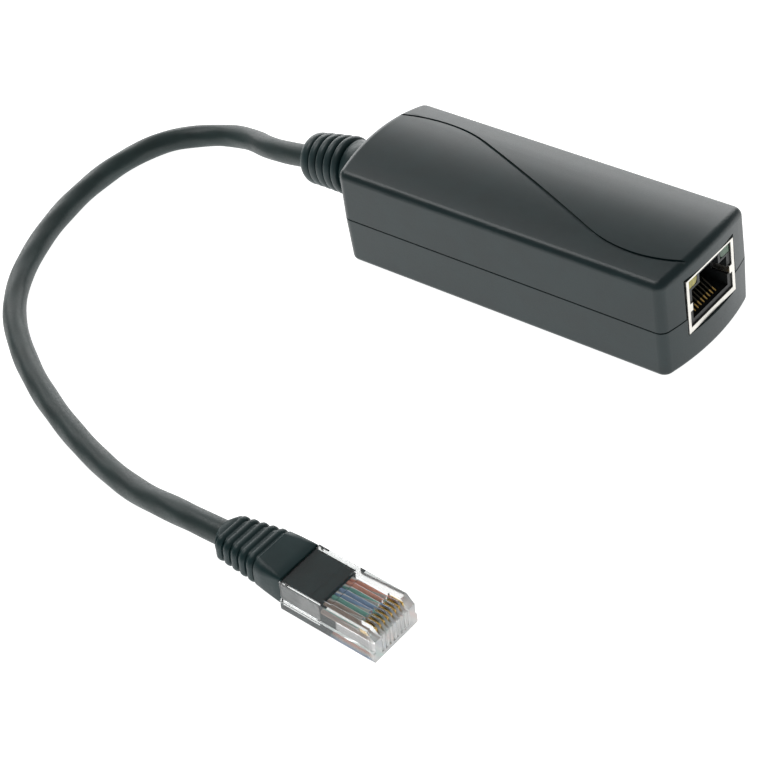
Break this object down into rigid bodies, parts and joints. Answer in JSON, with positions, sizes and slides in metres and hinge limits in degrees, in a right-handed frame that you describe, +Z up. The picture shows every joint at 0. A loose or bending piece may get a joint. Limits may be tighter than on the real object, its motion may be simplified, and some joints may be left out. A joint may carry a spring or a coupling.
{
  "type": "poe converter",
  "caption": "Inline power converter for a network line: slim two-shell plastic case with a shielded socket at one end and a short cable with a clear plug at the other.",
  "frame": {"origin": "middle of the case's flat bottom, on the surface that it lies on", "axes": "+X along the case towards the jack, +Z up from the flat bottom, the cable leaves at -X and its plug lies on the -Y side"},
  "size_m": [0.1511, 0.1171, 0.024],
  "materials": {
    "case_plastic": "fine matt moulded black plastic",
    "board_laminate": "green glass laminate with solder mask",
    "tinned_steel": "bright tin-plated folded sheet",
    "jack_plastic": "black moulded insulator",
    "yellow_lens": "unlit yellow light window",
    "green_lens": "unlit green light window",
    "gold_plate": "gold-plated spring metal",
    "relief_rubber": "satin black soft moulding",
    "boot_rubber": "satin black soft moulding",
    "cable_jacket": "satin black soft jacket",
    "clear_plastic": "clear moulded plastic",
    "can_sleeve": "dark sleeve on an aluminium can",
    "ferrite": "dark grey ferrite",
    "winding_tape": "yellow tape over the winding",
    "chip_epoxy": "black moulded epoxy with tinned strip legs",
    "resistor_ceramic": "small black flat resistors",
    "capacitor_ceramic": "small tan ceramic blocks",
    "wire_white_orange": "white insulation with an orange stripe",
    "wire_orange": "orange insulation",
    "wire_white_green": "white insulation with a green stripe",
    "wire_blue": "blue insulation",
    "wire_white_blue": "white insulation with a blue stripe",
    "wire_green": "green insulation",
    "wire_white_brown": "white insulation with a brown stripe",
    "wire_brown": "brown insulation"
  },
  "bodies": {
    "root": {"upper_case": "case_plastic", "lower_case": "case_plastic", "circuit_board": "board_laminate", "jack_shield": "tinned_steel", "jack_housing": "jack_plastic", "jack_led_yellow": "yellow_lens", "jack_led_green": "green_lens", "jack_contacts": "gold_plate", "strain_relief": "relief_rubber", "jacket_case_end": "cable_jacket", "cable_jacket": "cable_jacket", "jacket_plug_end": "cable_jacket", "plug_body": "clear_plastic", "plug_contacts": "gold_plate", "plug_boot": "boot_rubber", "output_capacitor": "can_sleeve", "input_capacitor": "can_sleeve", "transformer_core": "ferrite", "transformer_winding": "winding_tape", "output_inductor": "ferrite", "controller_chip": "chip_epoxy", "switch_transistor": "chip_epoxy", "data_transformer": "chip_epoxy", "output_diode": "chip_epoxy", "bridge_rectifiers": "chip_epoxy", "chip_resistors": "resistor_ceramic", "chip_capacitors": "capacitor_ceramic", "plug_wire_white_orange": "wire_white_orange", "board_lead_white_orange": "wire_white_orange", "plug_wire_orange": "wire_orange", "board_lead_orange": "wire_orange", "plug_wire_white_green": "wire_white_green", "board_lead_white_green": "wire_white_green", "plug_wire_blue": "wire_blue", "board_lead_blue": "wire_blue", "plug_wire_white_blue": "wire_white_blue", "board_lead_white_blue": "wire_white_blue", "plug_wire_green": "wire_green", "board_lead_green": "wire_green", "plug_wire_white_brown": "wire_white_brown", "board_lead_white_brown": "wire_white_brown", "plug_wire_brown": "wire_brown", "board_lead_brown": "wire_brown"}
  },
  "joints": []
}
